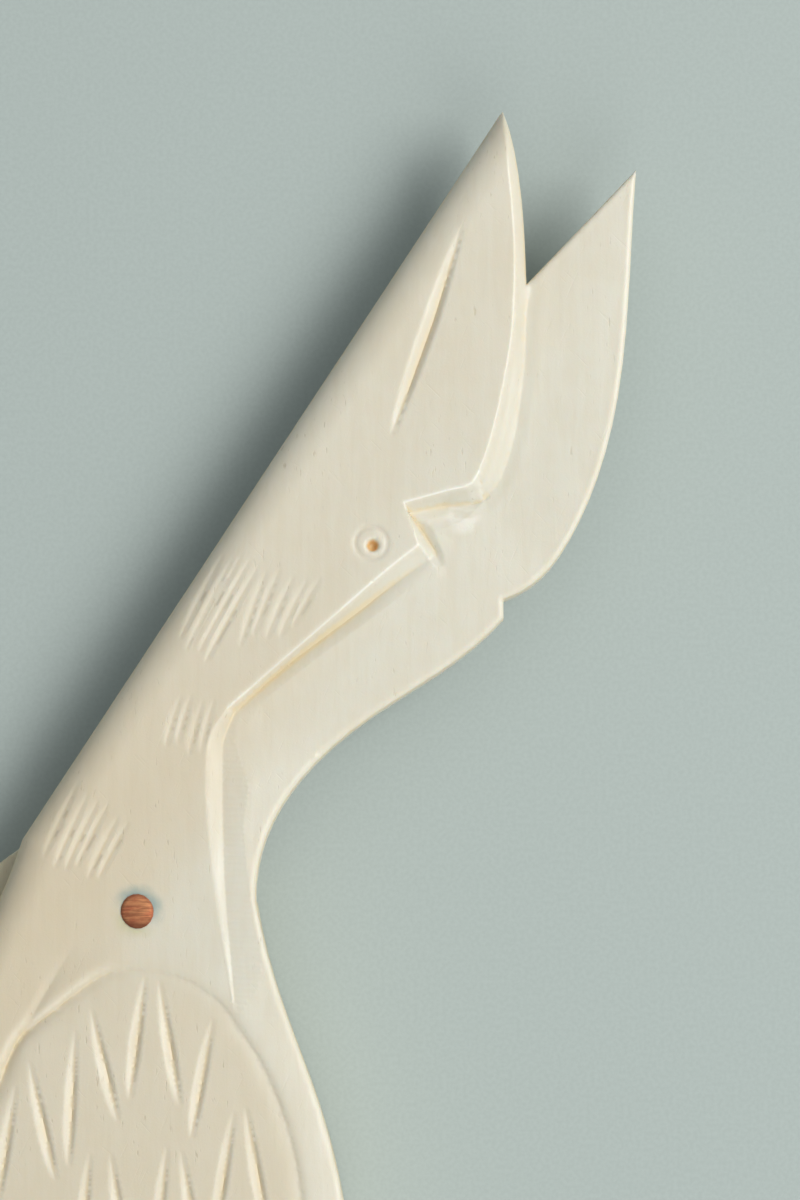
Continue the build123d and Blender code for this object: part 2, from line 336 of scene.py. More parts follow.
featherStrokes = (
    ((0.7, -5.1), (-0.5, -14.9)), ((1.8, -5.4), (3.5, -15.4)), ((6.1, -8.5), (4.4, -18.0)),
    ((-3.6, -7.7), (-1.4, -16.6)), ((-4.8, -9.4), (-5.3, -20.2)), ((-8.5, -11.8), (-6.3, -21.3)),
    ((-9.5, -13.8), (-10.9, -23.0)), ((7.8, -15.8), (6.3, -25.6)), ((8.7, -15.5), (10.5, -25.2)),
    ((2.5, -18.6), (1.5, -28.6)), ((3.6, -18.9), (5.4, -28.7)), ((-3.6, -19.1), (-4.5, -29.2)),
    ((-2.0, -19.1), (-0.4, -28.9)), ((-9.3, -23.4), (-8.0, -32.8)), ((-10.3, -23.4), (-12.2, -32.8)),
)
for start, end in featherStrokes:
    gouges.append((start, end, 1.05, 0.30))
for row in range(4):  # the rows that run on towards the wing's tip
    top = -30.2 - 10.4 * row
    for k in range(-3, 4):
        x = (k + 0.5 * (row % 2)) * 5.1 - 0.6 - 0.8 * row
        if not -12.5 + 1.6 * row < x < 11.0 - 3.4 * row:
            continue
        y = top - 0.05 * x * x
        for lean in (-1, 1):
            gouges.append(((x + 0.55 * lean, y), (x + 1.7 * lean, y - 9.4), 1.0, 0.28))

wingLine = ((-5.6, -78.6, 0.1), (-11.6, -62.0, 0.3), (-14.6, -44.0, 0.34), (-14.4, -28.0, 0.36),
            (-12.6, -18.0, 0.36), (-11.1, -14.2, 0.42), (-9.7, -10.6, 0.42), (-8.6, -9.4, 0.40),
            (-6.6, -7.9, 0.36), (-4.6, -6.3, 0.32), (-2.8, -5.1, 0.26), (-1.2, -4.7, 0.18),
            (0.8, -4.7, 0.10), (2.8, -5.1, 0.08), (4.6, -5.8, 0.07), (6.7, -7.4, 0.10), (8.4, -9.7, 0.14),
            (10.0, -12.2, 0.14), (11.2, -14.9, 0.14), (12.3, -18.2, 0.13), (13.2, -23.1, 0.14),
            (13.7, -32.0, 0.2), (12.6, -43.0, 0.24), (9.2, -56.0, 0.24), (3.4, -68.0, 0.2),
            (-3.4, -77.4, 0.1))
wingLine = flowing(wingLine)
shoulderLine = ((-5.2, -3.0, 0.02), (-7.0, -6.0, 0.14), (-9.0, -9.6, 0.2), (-10.6, -12.4, 0.1))
beakSlit = dict(line=((26.0, 55.3), (23.6, 47.6), (20.2, 38.0)), width=1.35, depth=0.42)
# everything on the low side of the carved face's edge, for ground that no area above covers
reliefEdge = ((29.4, 64.5), (30.1, 52.0), (29.9, 46.6), (28.8, 40.5), (27.2, 35.2), (26.2, 34.1),
              (21.2, 32.8), (23.0, 29.2), (22.4, 29.4), (14.5, 22.7), (7.2, 16.3), (5.4, 12.1), (5.8, 4.1),
              (8.0, -8.4), (13.4, -8.4), (20.0, 8.0), (45.0, 20.0), (45.0, 66.0))

edges = dict(backWidth=3.1, backDrop=2.2, rimWidth=0.5, rimDrop=0.26, breastWidth=4.5, breastDrop=0.4)
eye = dict(at=(18.6, 29.5), ring=1.28, ringWidth=0.36, ringDepth=0.10, pitAt=(18.7, 29.3), pit=0.47, pitDepth=0.75)


def vCut(dist, side, width, depth):
    # a long gentle wall on the left of the cut, a short steep one on its right
    left, right = 0.6 * width, 0.4 * width
    t = np.where(side < 0, dist / left, dist / right)
    cut = np.clip(1 - t, 0, 1)
    return depth * (cut * 0.75 + softStep(cut) * 0.25)


def groundHeight(points):
    z = np.zeros(len(points))
    here = inside(points, np.array(reliefEdge))
    best = np.full(here.sum(), 1e9)
    value = np.zeros(here.sum())
    lines = [area["near"] for area in lowGround.values()]
    lines += [wall[side] for wall in carving.values() for side in ("top", "foot")]
    for line in lines:
        d, _, _, v = nearest(points[here], line)
        value = np.where(d < best, v, value)
        best = np.minimum(best, d)
    z[here] = value
    for area in lowGround.values():
        here = inside(points, between(area["near"], area["far"]))
        p = points[here]
        dNear, _, _, zNear = nearest(p, area["near"])
        dFar, _, _, zFar = nearest(p, area["far"])
        t = dNear / (dNear + dFar + 1e-9)
        z[here] = zNear + (zFar - zNear) * t
    for wall in carving.values():
        here = inside(points, between(wall["top"], wall["foot"]))
        p = points[here]
        dTop, _, _, zTop = nearest(p, wall["top"])
        dFoot, _, _, zFoot = nearest(p, wall["foot"])
        t = dTop / (dTop + dFoot + 1e-9)
        z[here] = zTop + (zFoot - zTop) * t - wall["sag"] * 4 * t * (1 - t)
    return z


def carvedHeight(points, outline):
    z = groundHeight(points)
    # the wing swells a little inside its line
    dWing, _, _, depthWing = nearest(points, wingLine)
    inWing = inside(points, planOf(wingLine))
    # the ground falls to the line from inside and stands over it as a small step outside
    z += np.where(inWing, 0.07 * softStep(dWing / 6.0), 0.04 * softStep(1 - dWing / 3.0)) - 0.02
    z -= depthWing * np.exp(-((dWing / np.where(inWing, 0.62, 0.3)) ** 1.4))
    d, _, _, depth = nearest(points, shoulderLine)
    z -= depth * np.exp(-((d / 0.4) ** 1.5))
    # a low swelling runs from the rivet to the shoulder
    d, _, along, _ = nearest(points, ((-0.4, -2.2), (-4.2, -5.2), (-8.6, -10.0)))
    z += 0.09 * np.exp(-((d / 0.9) ** 2)) * np.sin(np.clip(along, 0, 1) * math.pi)
    for start, end, width, depth in gouges:
        centre = np.array([(start[0] + end[0]) / 2, (start[1] + end[1]) / 2])
        reach = math.hypot(start[0] - end[0], start[1] - end[1]) / 2 + width
        near = np.where(np.hypot(*(points - centre).T) < reach)[0]
        d, side, along, _ = nearest(points[near], (start, end))
        swell = np.sin(math.pi * np.clip(along, 0, 1) ** 1.25) ** 0.7
        z[near] -= vCut(d, -side, width * (0.35 + 0.65 * swell), depth * swell)
    # the lens-shaped slit in the beak
    d, side, along, _ = nearest(points, beakSlit["line"])
    swell = np.sin(math.pi * np.clip(along, 0, 1)) ** 0.75
    z -= vCut(d, -side, beakSlit["width"] * (0.25 + 0.75 * swell), beakSlit["depth"] * swell)
    # the drilled eye and its ring
    r = np.hypot(points[:, 0] - eye["at"][0], points[:, 1] - eye["at"][1])
    z -= eye["ringDepth"] * np.exp(-(((r - eye["ring"]) / (0.45 * eye["ringWidth"])) ** 2))
    r = np.hypot(points[:, 0] - eye["pitAt"][0], points[:, 1] - eye["pitAt"][1])
    z -= eye["pitDepth"] * softStep((eye["pit"] * 1.15 - r) / (0.55 * eye["pit"]))
    # chatter from the file on the neck facet
    facet = inside(points, between(carving["neckFacet"]["top"], carving["neckFacet"]["foot"]))
    z += np.where(facet, 0.02 * np.sin(points[:, 1] * 2 * math.pi / 0.48), 0)
    # rounded back, softened rims
    step = np.roll(outline, -1, 0) - outline
    isBack = (step[:, 1] < -0.25 * np.hypot(*step.T)) & ~((outline[:, 1] > 50.0) & (outline[:, 0] > 30.8))
    dBack = np.full(len(points), 1e9)
    dRim = np.full(len(points), 1e9)
    for a, s, back in zip(outline, step, isBack):
        t = np.clip(((points - a) @ s) / (s @ s), 0, 1)
        off = points - a - t[:, None] * s
        dist = np.hypot(off[:, 0], off[:, 1])
        if back:
            dBack = np.minimum(dBack, dist)
        else:
            dRim = np.minimum(dRim, dist)
    e = edges
    t = np.clip(1 - dBack / e["backWidth"], 0, 1)
    z -= e["backDrop"] * (1 - np.sqrt(1 - t * t))
    t = np.clip(1 - dRim / e["rimWidth"], 0, 1)
    z -= e["rimDrop"] * (1 - np.sqrt(1 - t * t))
    breast = np.clip(1 - dRim / e["breastWidth"], 0, 1) ** 2 * softStep((-2.0 - points[:, 1]) / 8.0)
    z -= e["breastDrop"] * breast
    return z, softStep((dBack - 1.5) / 2.5) * softStep((dRim - 0.2) / 0.6)


# ---- the bird: a fine plan mesh raised to the carved height, with walls down to its flat underside

birdMesh = dict(headStep=0.21, bodyStep=0.34, headFrom=-24.0, rings=(0.05, 0.16, 0.34))
# width in millimetres of the painted glint along the jaw's and the mouth's upper edges
glintWidth = 0.11


def featurePoints():
    lines = []
    for wall in carving.values():
        lines += [wall["top"], wall["foot"]]
    lines += [[p for p in wingLine if p[1] > -30], shoulderLine, beakSlit["line"]]
    made = []
    for line in lines:
        for a, b in zip(line[:-1], line[1:]):
            length = max(1e-6, math.hypot(b[0] - a[0], b[1] - a[1]))
            count = max(1, int(length / 0.2))
            across = ((a[1] - b[1]) / length, (b[0] - a[0]) / length)
            beside = (0, -0.12, 0.12) if len(line[0]) > 2 else (0, -0.2, 0.3)
            for off in beside:
                made += [(a[0] + (b[0] - a[0]) * i / count + off * across[0],
                          a[1] + (b[1] - a[1]) * i / count + off * across[1]) for i in range(count + 1)]
    for start, end, width, _ in gouges:
        length = math.hypot(end[0] - start[0], end[1] - start[1])
        across = ((start[1] - end[1]) / length, (end[0] - start[0]) / length)
        count = int(length / 0.19)
        for i in range(count + 1):
            t = i / count
            wide = width * (0.35 + 0.65 * max(0, math.sin(math.pi * t**1.25)) ** 0.7)
            for off in (0, 0.4 * wide, -0.6 * wide, -0.3 * wide):
                made.append((start[0] + (end[0] - start[0]) * t + off * across[0],
                             start[1] + (end[1] - start[1]) * t + off * across[1]))
    for radius in (eye["ring"] - 0.16, eye["ring"], eye["ring"] + 0.16):
        made += [(eye["at"][0] + radius * math.cos(a), eye["at"][1] + radius * math.sin(a))
                 for a in np.linspace(0, 2 * math.pi, 60, endpoint=False)]
    for radius in (0.2, 0.35, 0.47, 0.56):
        made += [(eye["pitAt"][0] + radius * math.cos(a), eye["pitAt"][1] + radius * math.sin(a))
                 for a in np.linspace(0, 2 * math.pi, 28, endpoint=False)]
    return np.array(made)


def thinned(points, kept, gap):
    # the points that are at least a gap away from the kept ones and from each other
    cells = {}
    for p in kept:
        cells.setdefault((int(p[0] // gap), int(p[1] // gap)), []).append(p)
    made = []
    for p in points:
        cx, cy = int(p[0] // gap), int(p[1] // gap)
        close = False
        for i in (-1, 0, 1):
            for j in (-1, 0, 1):
                for q in cells.get((cx + i, cy + j), ()):
                    if (p[0] - q[0]) ** 2 + (p[1] - q[1]) ** 2 < gap * gap:
                        close = True
        if not close:
            cells.setdefault((cx, cy), []).append(p)
            made.append(p)
    return made


def triangulated(loops, loose):
    # triangles over a closed outline less its bores, through the loose points
    points, ties, start = [], [], 0
    for loop in loops:
        points += [Vector(p) for p in loop]
        ties += [(start + i, start + (i + 1) % len(loop)) for i in range(len(loop))]
        start += len(loop)
    points += [Vector(p) for p in loose]
    verts, _, faces, _, _, _ = geometry.delaunay_2d_cdt(points, ties, [], 0, 1e-6, False)
    verts = np.array([v[:] for v in verts])
    faces = np.array(faces)
    centres = verts[faces].mean(1)
    keep = inside(centres, loops[0])
    for bore in loops[1:]:
        keep &= ~inside(centres, bore)
    faces = faces[keep]
    a, b, c = verts[faces[:, 0]], verts[faces[:, 1]], verts[faces[:, 2]]
    turn = (b[:, 0] - a[:, 0]) * (c[:, 1] - a[:, 1]) - (b[:, 1] - a[:, 1]) * (c[:, 0] - a[:, 0])
    faces[turn < 0] = faces[turn < 0][:, ::-1]
    return verts, faces


def makeBird():
    s = birdMesh
    loops = outlineLoops("front_scale")
    outline = respaced(loops[0], 0.3)
    bores = [respaced(p, 0.3) for p in loops[1:]]
    step = np.roll(outline, -1, 0) - np.roll(outline, 1, 0)
    inward = np.stack([-step[:, 1], step[:, 0]], 1) / np.hypot(*step.T)[:, None]
    ringed = [outline + inward * d for d in s["rings"]]
    ringed = np.concatenate([r[inside(r, outline)] for r in ringed])
    soft = thinned([tuple(p) for p in ringed], [tuple(p) for p in outline], 0.04)
    soft += thinned([tuple(p) for p in featurePoints()], list(outline) + soft, 0.09)
    lo, hi = outline.min(0), outline.max(0)
    grid = []
    for step, low, high in ((s["headStep"], s["headFrom"], hi[1]), (s["bodyStep"], lo[1], s["headFrom"])):
        row, y = 0, low
        while y < high:
            x = lo[0] + (0.5 * step if row % 2 else 0)
            while x < hi[0]:
                grid.append((x, y))
                x += step
            y += step * 0.866
            row += 1
    grid = np.array(grid)
    grid = grid[inside(grid, outline)]
    tree = kdtree.KDTree(len(outline) + len(soft))
    for i, p in enumerate([tuple(q) for q in outline] + [tuple(q) for q in soft]):
        tree.insert((p[0], p[1], 0), i)
    tree.balance()
    fine = []
    for p in grid:
        gap = 0.6 * (s["headStep"] if p[1] > s["headFrom"] else s["bodyStep"])
        if tree.find((p[0], p[1], 0))[2] > gap:
            fine.append(tuple(p))
    everySoft = soft + fine
    if bores:
        flat = np.array(everySoft)
        out = np.ones(len(flat), bool)
        for bore in bores:
            grown = bore.mean(0) + (bore - bore.mean(0)) * 1.06
            out &= ~inside(flat, grown)
        everySoft = [tuple(p) for p in flat[out]]
    topPlan, topFaces = triangulated([outline] + bores, everySoft)
    print("bird plan:", len(topPlan), "points,", len(topFaces), "triangles")

    used = np.unique(topFaces)
    renumber = np.full(len(topPlan), -1)
    renumber[used] = np.arange(len(used))
    topPlan, topFaces = topPlan[used], renumber[topFaces]
    low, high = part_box("front_scale")
    carved, flatShare = carvedHeight(topPlan, outline)
    topZ = high.z / mm + carved
    ties = np.concatenate([topFaces[:, [0, 1]], topFaces[:, [1, 2]], topFaces[:, [2, 0]]])
    count = np.bincount(ties.ravel(), minlength=len(topPlan))

    def softened(level, rounds):
        for _ in range(rounds):
            total = np.bincount(ties[:, 0], level[ties[:, 1]], len(topPlan))
            total += np.bincount(ties[:, 1], level[ties[:, 0]], len(topPlan))
            level = 0.5 * level + 0.5 * total / count
        return level

    # the throat and the lower beak run smoothly away from the cuts
    facet = between(carving["neckFacet"]["top"], carving["neckFacet"]["foot"])
    smooth = inside(topPlan, np.array(reliefEdge)) & ~inside(topPlan, facet)
    cuts = [nearest(topPlan, wall[side])[0] for wall in carving.values() for side in ("top", "foot")]
    smooth = smooth * softStep((np.min(cuts, axis=0) - 0.3) / 1.0) * flatShare
    topZ += (softened(topZ, 110) - topZ) * smooth
    top = np.column_stack([topPlan, topZ])
    underPlan, underFaces = triangulated([outline] + bores, [])
    under = np.column_stack([underPlan, np.full(len(underPlan), low.z / mm)])
    walls, start = [], 0
    for loop in [outline] + bores:
        ring = [start + i for i in range(len(loop))]
        for a, b in zip(ring, ring[1:] + ring[:1]):
            walls.append((a + len(top), b + len(top), int(renumber[b]), int(renumber[a])))
        start += len(loop)
    verts = np.concatenate([top, under])
    verts = verts * mm + np.array([pivot.x, pivot.y, 0])
    faces = [tuple(int(i) for i in f) for f in topFaces]
    faces += [tuple(int(i) + len(top) for i in f[::-1]) for f in underFaces]
    faces += walls
    mesh = bpy.data.meshes.new("carvedBird")
    mesh.from_pydata([tuple(v) for v in verts], [], faces)
    mesh.validate()
    bird = bpy.data.objects.new("carvedBird", mesh)
    bpy.context.scene.collection.objects.link(bird)
    # the pale ground: the throat, the lower beak and the breast outside the wing
    slope = softStep((0.83 * topPlan[:, 0] - 0.55 * topPlan[:, 1] + 4.0) / 9.0)
    inWing = inside(topPlan, planOf(wingLine))
    body = np.where(inWing, 0.32, softStep((topPlan[:, 0] - 1.0) / 6.0))
    pale = slope + (body - slope) * softStep((-1.0 - topPlan[:, 1]) / 7.0)
    # painted highlight: a thin near-white glint along the jaw's and the mouth's upper edges, the strongest part of
    # the painted edge highlight
    toEdge = [nearest(topPlan, carving[wall]["top"])[0] for wall in ("jawWall", "mouthRoof")]
    edgeGlint = np.exp(-((np.minimum(*toEdge) / glintWidth) ** 2))
    # how hollow or how proud each point lies against the ground about it, for the tint and for the painted
    # highlight on the proud edges
    masks = {"hollow": 0.5 + 0.5 * np.clip((softened(topZ, 12) - topZ) / 0.16, -1, 1),
             "dip": 0.5 + 0.5 * np.clip((softened(topZ, 70) - topZ) / 0.55, -1, 1),
             "pale": softened(pale, 60),
             "paintedGlint": np.maximum(edgeGlint, 0.22 * np.clip((topZ - softened(topZ, 8)) / 0.05 - 0.25, 0, 1))
             * flatShare * softStep((topPlan[:, 1] - s["headFrom"]) / 5.0 + 1)}
    for name, found in masks.items():
        values = np.full(len(verts), 0.0 if name == "paintedGlint" else 0.5)
        values[:len(top)] = found
        mesh.attributes.new(name, "FLOAT", "POINT").data.foreach_set("value", values.astype(np.float32))
    pick(bird)
    bpy.ops.object.shade_smooth_by_angle(angle=math.radians(58))
    return bird


bird = makeBird()
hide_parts("front_scale")
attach(bird, "handle")
print("bird made:", len(bird.data.polygons), "faces")


# ---- rivets: copper wire cut to length, hammered to a slightly oval head and filed nearly flush

rivetShape = dict(sides=18, radius=1.3, oval=1.07, turn=-14, rim=0.05, crown=0.04, filed=0.32)


def makeRivet():
    r = rivetShape
    low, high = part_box("pivot_rivet")
    deselectAll()
    bpy.ops.mesh.primitive_cylinder_add(vertices=r["sides"], radius=r["radius"] * mm, depth=high.z - low.z,
                                        location=(pivot.x, pivot.y, (low.z + high.z) / 2))
    rivet = bpy.context.object
    rivet.name = rivet.data.name = "copperRivet"
    bpy.ops.object.transform_apply(location=True, rotation=True, scale=True)
    for end, grow in ((high.z, 1.0), (low.z, 0.0)):
        bpy.ops.object.mode_set(mode="EDIT")
        mesh = bmesh.from_edit_mesh(rivet.data)
        for face in mesh.faces:
            face.select_set(abs(face.calc_center_median().z - end) < 1e-6 and abs(face.normal.z) > 0.9)
        bmesh.update_edit_mesh(rivet.data)
        middle = (pivot.x, pivot.y, end)
        bpy.ops.mesh.extrude_region_move(TRANSFORM_OT_translate={"value": (0, 0, 0)})
        bpy.ops.transform.resize(value=(1.0, r["oval"], 1.0), center_override=middle)
        bpy.ops.transform.rotate(value=math.radians(r["turn"]), orient_axis="Z", center_override=middle)
        bpy.ops.mesh.inset(thickness=r["filed"] * mm, depth=0)
        bpy.ops.transform.translate(value=(0, 0, grow * r["crown"] * mm))
        bpy.ops.object.mode_set(mode="OBJECT")
    applyModifier(rivet, "BEVEL", width=r["rim"] * mm, segments=2, limit_method="ANGLE",
                  angle_limit=math.radians(40))
    pick(rivet)
    bpy.ops.object.shade_smooth_by_angle(angle=math.radians(35))
    return rivet


pivotRivet = makeRivet()
rivets = {"pivot_rivet": pivotRivet}
for node in ("breast_pin", "belly_pin", "tail_pin"):
    low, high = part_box(node)
    pin = pivotRivet.copy()
    pin.data = pivotRivet.data.copy()
    pin.name = pin.data.name = node + "Copper"
    bpy.context.scene.collection.objects.link(pin)
    slim = (high.x - low.x) / (2 * rivetShape["radius"] * mm)
    pin.data.transform(Matrix.Translation(((low.x + high.x) / 2, (low.y + high.y) / 2, 0))
                       @ Matrix.Diagonal((slim, slim, 1, 1)) @ Matrix.Translation((-pivot.x, -pivot.y, 0)))
    rivets[node] = pin
for node, piece in rivets.items():
    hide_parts(node)
    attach(piece, "handle")
print("rivets made:", len(rivets))

# ---- the folding blade, scraped thin towards its working edge

# millimetres; the edge is a share of the blade's thickness, and the scraping starts below the pivot
bladeShape = dict(voxel=0.32, edge=0.5, scraped=6.5, start=-13.0, fade=10.0)


def makeBlade():
    b = bladeShape
    blade = meltedCopy("folding_blade", "boneBlade")
    applyModifier(blade, "REMESH", mode="VOXEL", voxel_size=b["voxel"] * mm)
    applyModifier(blade, "SMOOTH", factor=0.5, iterations=2)
    low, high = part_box("folding_blade")
    count = len(blade.data.vertices)
    co = np.empty(count * 3)
    normals = np.empty(count * 3)
    blade.data.vertices.foreach_get("co", co)
    blade.data.vertices.foreach_get("normal", normals)
    co, normals = co.reshape(-1, 3), normals.reshape(-1, 3)
    middle = (low.z + high.z) / 2
    away = np.hypot(co[:, 0] - pivot.x, co[:, 1] - pivot.y)
    rim = np.where((abs(normals[:, 2]) < 0.3) & (away > 4 * mm))[0]
    tree = kdtree.KDTree(len(rim))
    for i in rim:
        tree.insert((co[i, 0], co[i, 1], 0), int(i))
    tree.balance()
    reach = np.array([tree.find((x, y, 0))[2] for x, y, _ in co])
    thin = b["edge"] + (1 - b["edge"]) * softStep(reach / (b["scraped"] * mm))
    along = softStep((b["start"] - (co[:, 1] - pivot.y) / mm) / b["fade"])
    co[:, 2] = middle + (co[:, 2] - middle) * (1 + (thin - 1) * along)
    blade.data.vertices.foreach_set("co", co.ravel())
    blade.data.update()
    pick(blade)
    bpy.ops.object.shade_smooth_by_angle(angle=math.radians(40))
    return blade


boneBlade = makeBlade()
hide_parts("folding_blade")
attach(boneBlade, "blade")
print("blade made:", len(boneBlade.data.polygons), "faces")

# ---- materials

def linear(r, g, b):
    # a colour as the eye names it, 0 to 255, made linear
    return tuple((c / 255 / 12.92) if c <= 10 else ((c / 255 + 0.055) / 1.055) ** 2.4
                 for c in (r, g, b)) + (1,)


class Bench:
    # a node tree with short ways to add and join nodes
    def __init__(self, tree):
        self.tree = tree

    def add(self, kind, values=None, **settings):
        node = self.tree.nodes.new(kind)
        for name, value in settings.items():
            setattr(node, name, value)
        for key, value in (values or {}).items():
            if isinstance(value, bpy.types.NodeSocket):
                self.tree.links.new(value, node.inputs[key])
            else:
                node.inputs[key].default_value = value
        return node

    def math(self, operation, a, b=0.0, clamp=False):
        return self.add("ShaderNodeMath", {0: a, 1: b}, operation=operation, use_clamp=clamp).outputs[0]

    def ramp(self, value, low, high, toLow=0.0, toHigh=1.0):
        return self.add("ShaderNodeMapRange",
                        {"Value": value, "From Min": low, "From Max": high, "To Min": toLow, "To Max": toHigh},
                        interpolation_type="SMOOTHSTEP").outputs[0]

    def blend(self, amount, a, b, how="MIX"):
        node = self.add("ShaderNodeMix", data_type="RGBA", blend_type=how)
        for slot, value in ((0, amount), (6, a), (7, b)):
            if isinstance(value, bpy.types.NodeSocket):
                self.tree.links.new(value, node.inputs[slot])
            else:
                node.inputs[slot].default_value = value
        return node.outputs[2]

    def noise(self, vector, scale, detail=3.0, rough=0.55, distortion=0.0):
        return self.add("ShaderNodeTexNoise", {"Vector": vector, "Scale": scale, "Detail": detail,
                                               "Roughness": rough, "Distortion": distortion}).outputs["Fac"]

    def stretch(self, vector, scale, turn=0.0):
        return self.add("ShaderNodeMapping", {"Vector": vector, "Scale": scale,
                                              "Rotation": (0, 0, turn)}).outputs[0]

    def reach(self, flat, spot):
        # how far a flattened point is from a spot given in millimetres from the pivot
        there = self.add("ShaderNodeCombineXYZ", {"X": pivot.x + spot[0] * mm, "Y": pivot.y + spot[1] * mm,
                                                  "Z": 0.0}).outputs[0]
        return self.add("ShaderNodeVectorMath", {0: flat, 1: there}, operation="DISTANCE").outputs["Value"]

    def bump(self, shader, height, strength, distance):
        node = self.add("ShaderNodeBump", {"Strength": strength, "Distance": distance, "Height": height})
        self.tree.links.new(node.outputs[0], shader.inputs["Normal"])


def makeGroup(name, inputs, outputs):
    group = bpy.data.node_groups.new(name, "ShaderNodeTree")
    for label, kind in inputs:
        group.interface.new_socket(name=label, in_out="INPUT", socket_type=kind)
    for label, kind in outputs:
        group.interface.new_socket(name=label, in_out="OUTPUT", socket_type=kind)
    bench = Bench(group)
    return group, bench, bench.add("NodeGroupInput"), bench.add("NodeGroupOutput")


# bone: long grain, small dark pores, cloudy mottling and the fine scratches of use
boneGrain, bench, given, out = makeGroup(
    "boneGrain", (("Vector", "NodeSocketVector"), ("Scratches", "NodeSocketFloat")),
    (("Tone", "NodeSocketFloat"), ("Pores", "NodeSocketFloat"), ("Height", "NodeSocketFloat")))
place = given.outputs["Vector"]
streaks = bench.noise(bench.stretch(place, (1, 0.13, 1)), 1100, 4.0, 0.6, 0.4)
clouds = bench.noise(place, 110, 3.0, 0.5, 0.3)
patches = bench.noise(place, 420, 4.0, 0.6)
pits = bench.noise(bench.stretch(place, (1, 0.22, 1), 0.05), 3400, 2.0, 0.5)
pores = bench.math("MULTIPLY", bench.ramp(pits, 0.66, 0.76), bench.ramp(clouds, 0.42, 0.62))
leaning = bench.stretch(place, (1, 1, 1), 0.42)
scratchOne = bench.ramp(bench.noise(bench.stretch(leaning, (1, 0.07, 1)), 4600, 2.0, 0.5), 0.62, 0.78)
leaning = bench.stretch(place, (1, 1, 1), -0.75)
scratchTwo = bench.ramp(bench.noise(bench.stretch(leaning, (1, 0.09, 1)), 3600, 2.0, 0.5), 0.66, 0.80)
scratched = bench.math("MULTIPLY", bench.math("ADD", scratchOne, scratchTwo), given.outputs["Scratches"])
tone = bench.math("ADD", bench.math("MULTIPLY", streaks, 0.4),
                  bench.math("ADD", bench.math("MULTIPLY", clouds, 0.4), bench.math("MULTIPLY", patches, 0.2)))
fine = bench.noise(place, 5200, 3.0, 0.6)
height = bench.math("ADD", bench.math("MULTIPLY", streaks, 0.5), bench.math("MULTIPLY", fine, 0.22))
height = bench.math("SUBTRACT", height, bench.math("MULTIPLY", pores, 0.55))
height = bench.math("SUBTRACT", height, bench.math("MULTIPLY", scratched, 0.22))
bench.tree.links.new(tone, out.inputs["Tone"])
bench.tree.links.new(pores, out.inputs["Pores"])
bench.tree.links.new(height, out.inputs["Height"])


def newMaterial(name, roughness=0.4, **sockets):
    material = bpy.data.materials.new(name)
    material.use_nodes = True
    bench = Bench(material.node_tree)
    shader = material.node_tree.nodes["Principled BSDF"]
    shader.inputs["Roughness"].default_value = roughness
    for label, value in sockets.items():
        shader.inputs[label.replace("_", " ")].default_value = value
    place = bench.add("ShaderNodeTexCoord").outputs["Object"]
    return material, bench, shader, place


# the near-white colour is a painted highlight, used on proud edges and on the mouth's floor
carvedLook = dict(pale=(221, 218, 203), head=(220, 214, 196), tan=(215, 203, 178), warm=(224, 206, 166),
                  paintedGlint=(246, 244, 234), pore=(168, 152, 122), grime=(200, 184, 150), pit=(230, 184, 112),
                  stain=(104, 146, 150), staleStain=(190, 184, 120))
brightFloor = (25.9, 31.7)  # where the mouth's floor shines


